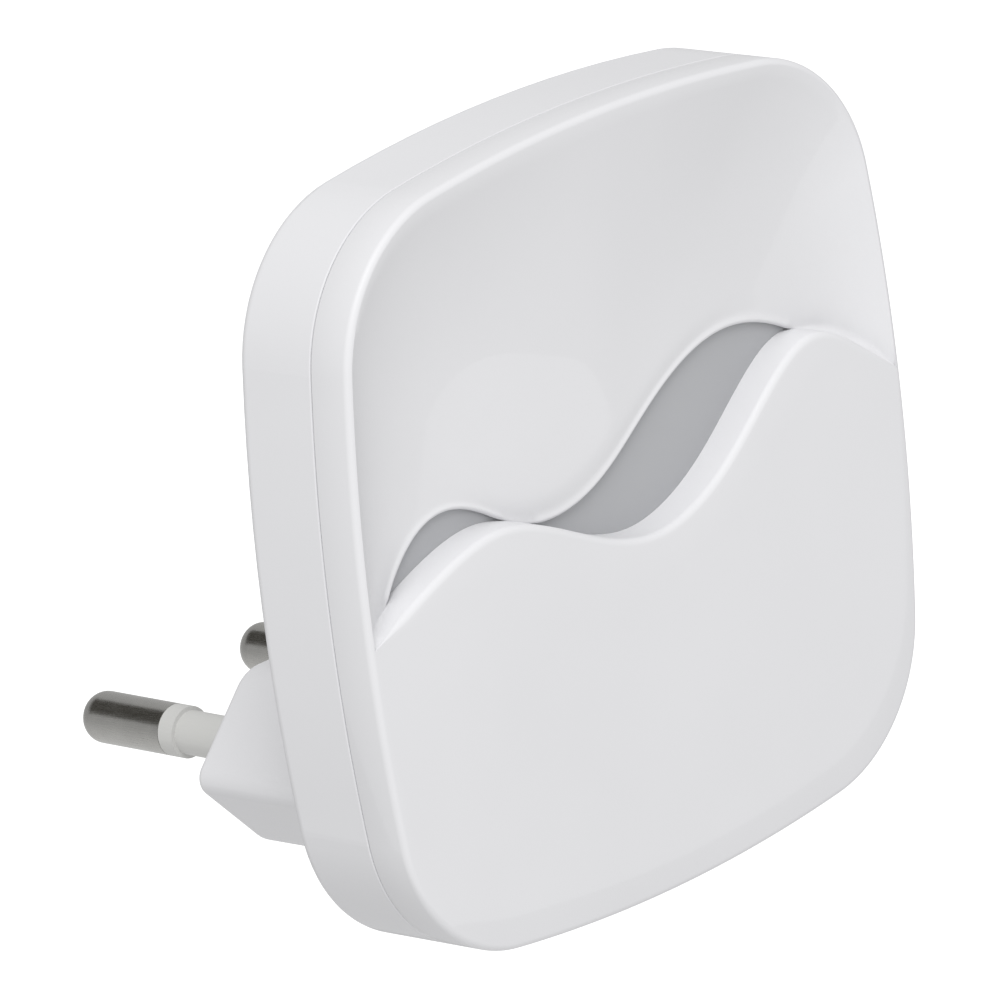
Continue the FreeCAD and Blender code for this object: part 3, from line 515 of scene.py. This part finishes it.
    def lip_edge(self):
        """Middle line of the rolled lip, its normals, and the dip and bead of the face beside it."""
        line = self.lip_line()
        slope = np.gradient(line[:, 1], line[:, 0])
        down = np.stack([slope, -np.ones_like(slope)], axis=1) / np.hypot(slope, 1)[:, None]
        plain = self.scoop(*line.T)
        dip = np.clip(LIP_FRONT - plain, 0, LIP_DIP)
        bead = LIP_BEAD * smooth((line[:, 1] - self.z) / LIP_BEAD_WIDTH)
        radius = np.maximum((SHELL_BACK - plain - dip) / 2, 0)
        edge = line - down * np.minimum(radius, LIP_ROUNDING)[:, None]
        return edge, down, dip, bead

    def dished_face(self, edge, dip, bead):
        """Strips from the front's edge to the lip, closer together near the lip."""
        strips = []
        start = self.upper[:, :2] - FRONT_EDGE * self.upper[:, 2:]
        for part in 1 - (1 - shares(SCOOP_STEPS)) ** SCOOP_CROWDING:
            place = start + (edge - start) * part
            away = np.linalg.norm(place - edge, axis=1)
            dished = self.scoop(*place.T) + dip * np.exp(-(away / LIP_DIP_WIDTH) ** 2)
            beaded = dished - bead * np.exp(-(away / LIP_BEAD_WIDTH) ** 2)
            strips.append((place, self.end_fillet(place, beaded)))
        return strips

    def rolled_lip(self, edge, down, front):
        """Strips round the lip, from its front depth to the back of the shell."""
        strips = []
        middle, half = (front + SHELL_BACK) / 2, (SHELL_BACK - front) / 2
        for turn in np.linspace(math.pi / 2, -math.pi / 2, LIP_TURNS + 1)[1:]:
            bulge = np.minimum(half, LIP_ROUNDING) * math.cos(turn)
            strips.append((edge + down * bulge[:, None], middle - half * math.sin(turn)))
        return strips

    def shell_back(self, edge):
        """Strips on the back of the shell, from the lip to the inside of the rim."""
        strips = []
        finish = self.upper[:, :2] - INNER_WALL * self.upper[:, 2:]
        for part in shares(BACK_STEPS):
            place = edge + (finish - edge) * part
            strips.append((place, np.minimum(self.scoop(*place.T) + SCOOP_SHELL, SHELL_BACK)))
        return strips

    def scoop_sections(self):
        """Scooped face: rim, dished face, rolled lip and the back of the shell."""
        edge, down, dip, bead = self.lip_edge()
        strips = self.rim(self.upper) + self.dished_face(edge, dip, bead)
        strips += self.rolled_lip(edge, down, strips[-1][1])
        return strips + self.shell_back(edge)


def ring_mesh(builder, strips, to_point):
    """Close a list of strips into a tube of quads, capped by the strips' own ends."""
    columns = []
    for strip in strips:
        columns.append([builder.verts.new(to_point(x, z, depth)) for (x, z), depth in zip(*strip)])
    for index, column in enumerate(columns):
        following = columns[(index + 1) % len(columns)]
        for step in range(len(column) - 1):
            builder.faces.new((column[step], column[step + 1], following[step + 1], following[step]))
    builder.faces.new([column[0] for column in columns])
    builder.faces.new([column[-1] for column in reversed(columns)])


def weld(builder):
    """Join points that coincide and drop the slivers between them."""
    bmesh.ops.remove_doubles(builder, verts=builder.verts, dist=WELD)
    bmesh.ops.dissolve_degenerate(builder, edges=builder.edges, dist=WELD)
    bmesh.ops.recalc_face_normals(builder, faces=builder.faces)


def smooth_by_angle(mesh):
    """Smooth shading that keeps true edges sharp."""
    mesh.shade_smooth()
    mesh.set_sharp_from_angle(angle=math.radians(SHARP_ANGLE))


def add_object(name, data):
    thing = bpy.data.objects.new(name, data)
    bpy.context.scene.collection.objects.link(thing)
    return thing


def front_centre(low, high):
    """Centre of the front plane of the cover's box."""
    return Vector(((low.x + high.x) / 2, low.y, (low.z + high.z) / 2))


def front_cover(materials):
    """Front shell with a flat lower panel, a rounded wavy step and a dished upper face."""
    low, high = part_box("front_cover")
    half_width, half_height = (high.x - low.x) / 2 / MM, (high.z - low.z) / 2 / MM
    centre = front_centre(low, high)
    cover = Cover(half_width, half_height)
    builder = bmesh.new()
    for strips in (cover.panel_sections(), cover.scoop_sections()):
        ring_mesh(builder, strips, lambda x, z, depth: centre + Vector((x, depth, z)) * MM)
    weld(builder)
    mesh = bpy.data.meshes.new("wave_cover")
    builder.to_mesh(mesh)
    builder.free()
    smooth_by_angle(mesh)
    mesh.materials.append(materials["case_white"])
    shell = add_object("wave_cover", mesh)
    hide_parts("front_cover")
    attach(shell, "root")


# ---------------------------------------------------------------- stage


def quad(name, middle, half_length, half_width):
    """Flat card given by its middle and two half sides."""
    mesh = bpy.data.meshes.new(name)
    rim = [middle - half_length - half_width, middle + half_length - half_width,
           middle + half_length + half_width, middle - half_length + half_width]
    mesh.from_pydata(rim, [], [(0, 1, 2, 3)])
    return add_object(name, mesh)


def floor(below):
    """Level white floor at a height, unseen by the object's diffuse and glossy light."""
    half = FLOOR_SIZE / 2
    ground = quad("floor", Vector((0, 0, below)), Vector((half, 0, 0)), Vector((0, half, 0)))
    material, tree, shader = new_material("floor_white")
    tone = noise(tree, coordinates(tree), FLOOR_CLOUD)
    tree.links.new(ramp(tree, tone, *FLOOR_GREYS), shader.inputs["Base Color"])
    shader.inputs["Roughness"].default_value = 0.9
    shader.inputs["Emission Color"].default_value = (1, 1, 1, 1)
    shader.inputs["Emission Strength"].default_value = FLOOR_GLOW
    ground.data.materials.append(material)
    ground.visible_diffuse = False
    ground.visible_glossy = False


def area_light(name, place, target, size, power):
    """Round lamp that faces the target."""
    data = bpy.data.lights.new(name, "AREA")
    data.shape = "DISK"
    data.size = size
    data.energy = power
    light = add_object(name, data)
    light.location = place
    light.rotation_euler = (target - place).to_track_quat("-Z", "Y").to_euler()


def sky_slope(tree, direction):
    """Change of the sky's light that is even with direction."""
    slope = tree.nodes.new("ShaderNodeVectorMath")
    slope.operation = "DOT_PRODUCT"
    slope.inputs[1].default_value = SKY_SLOPE
    tree.links.new(direction, slope.inputs[0])
    return slope.outputs["Value"]


def sky_level(tree, direction):
    """Mean light of the sky, with more of it from below the horizon."""
    height = tree.nodes.new("ShaderNodeSeparateXYZ")
    tree.links.new(direction, height.inputs["Vector"])
    below = tree.nodes.new("ShaderNodeMapRange")
    below.inputs["From Min"].default_value = -1
    below.inputs["From Max"].default_value = 0
    below.inputs["To Min"].default_value = SKY_MEAN + TABLE_LIGHT
    below.inputs["To Max"].default_value = SKY_MEAN
    tree.links.new(height.outputs["Z"], below.inputs["Value"])
    return below.outputs["Result"]


def sky():
    """World light of one colour, whose strength depends on direction."""
    world = bpy.data.worlds.new("studio")
    world.use_nodes = True
    tree = world.node_tree
    direction = tree.nodes.new("ShaderNodeTexCoord").outputs["Generated"]
    level = tree.nodes.new("ShaderNodeMath")
    tree.links.new(sky_slope(tree, direction), level.inputs[0])
    tree.links.new(sky_level(tree, direction), level.inputs[1])
    background = tree.nodes["Background"]
    background.inputs["Color"].default_value = (1, 1, 1, 1)
    tree.links.new(level.outputs["Value"], background.inputs["Strength"])
    bpy.context.scene.world = world


def black_card(plug_centre):
    """Card that only reflections see."""
    turn = math.radians(CARD_TURN)
    across = math.sqrt(1 - CARD_ALONG_PINS ** 2)
    back = Vector((math.cos(turn) * across, CARD_ALONG_PINS, math.sin(turn) * across))
    along = Vector((-math.sin(turn), 0, math.cos(turn)))
    middle = plug_centre + back * CARD_DISTANCE
    card = quad("black_card", middle, along * CARD_HALF_LENGTH, back.cross(along) * CARD_HALF_WIDTH)
    card.visible_camera = False
    card.visible_diffuse = False
    card.visible_shadow = False
    material, _, shader = new_material("card_black")
    shader.inputs["Base Color"].default_value = CARD_BLACK
    shader.inputs["Roughness"].default_value = 1.0
    card.data.materials.append(material)


def camera_back():
    """Direction from the object to the camera."""
    azimuth, elevation = math.radians(CAMERA_AZIMUTH), math.radians(CAMERA_ELEVATION)
    level = math.cos(elevation)
    return Vector((math.sin(azimuth) * level, -math.cos(azimuth) * level, math.sin(elevation)))


def camera(panel_centre):
    """Camera that looks down on the front from its left side."""
    back = camera_back()
    data = bpy.data.cameras.new("camera")
    data.lens = CAMERA_LENS
    data.clip_start = CAMERA_NEAR
    data.clip_end = CAMERA_FAR
    eye = add_object("camera", data)
    roll = Matrix.Rotation(math.radians(CAMERA_ROLL), 4, "Z")
    turn = back.to_track_quat("Z", "Y").to_matrix().to_4x4() @ roll
    eye.matrix_world = Matrix.Translation(panel_centre + AIM_FROM_PANEL + back * CAMERA_DISTANCE) @ turn
    bpy.context.scene.camera = eye


# ---------------------------------------------------------------- whole


def main():
    materials = make_materials()
    dress_nodes(materials)
    front_cover(materials)
    low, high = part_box("front_cover")
    panel_centre = front_centre(low, high)
    floor(low.z - FLOOR_DROP)
    sky()
    area_light("key", panel_centre + KEY_PLACE, panel_centre, KEY_SIZE, KEY_POWER)
    black_card(Vector((0, 0, 0)))
    camera(panel_centre)
    bpy.context.scene.view_settings.view_transform = "Standard"


main()
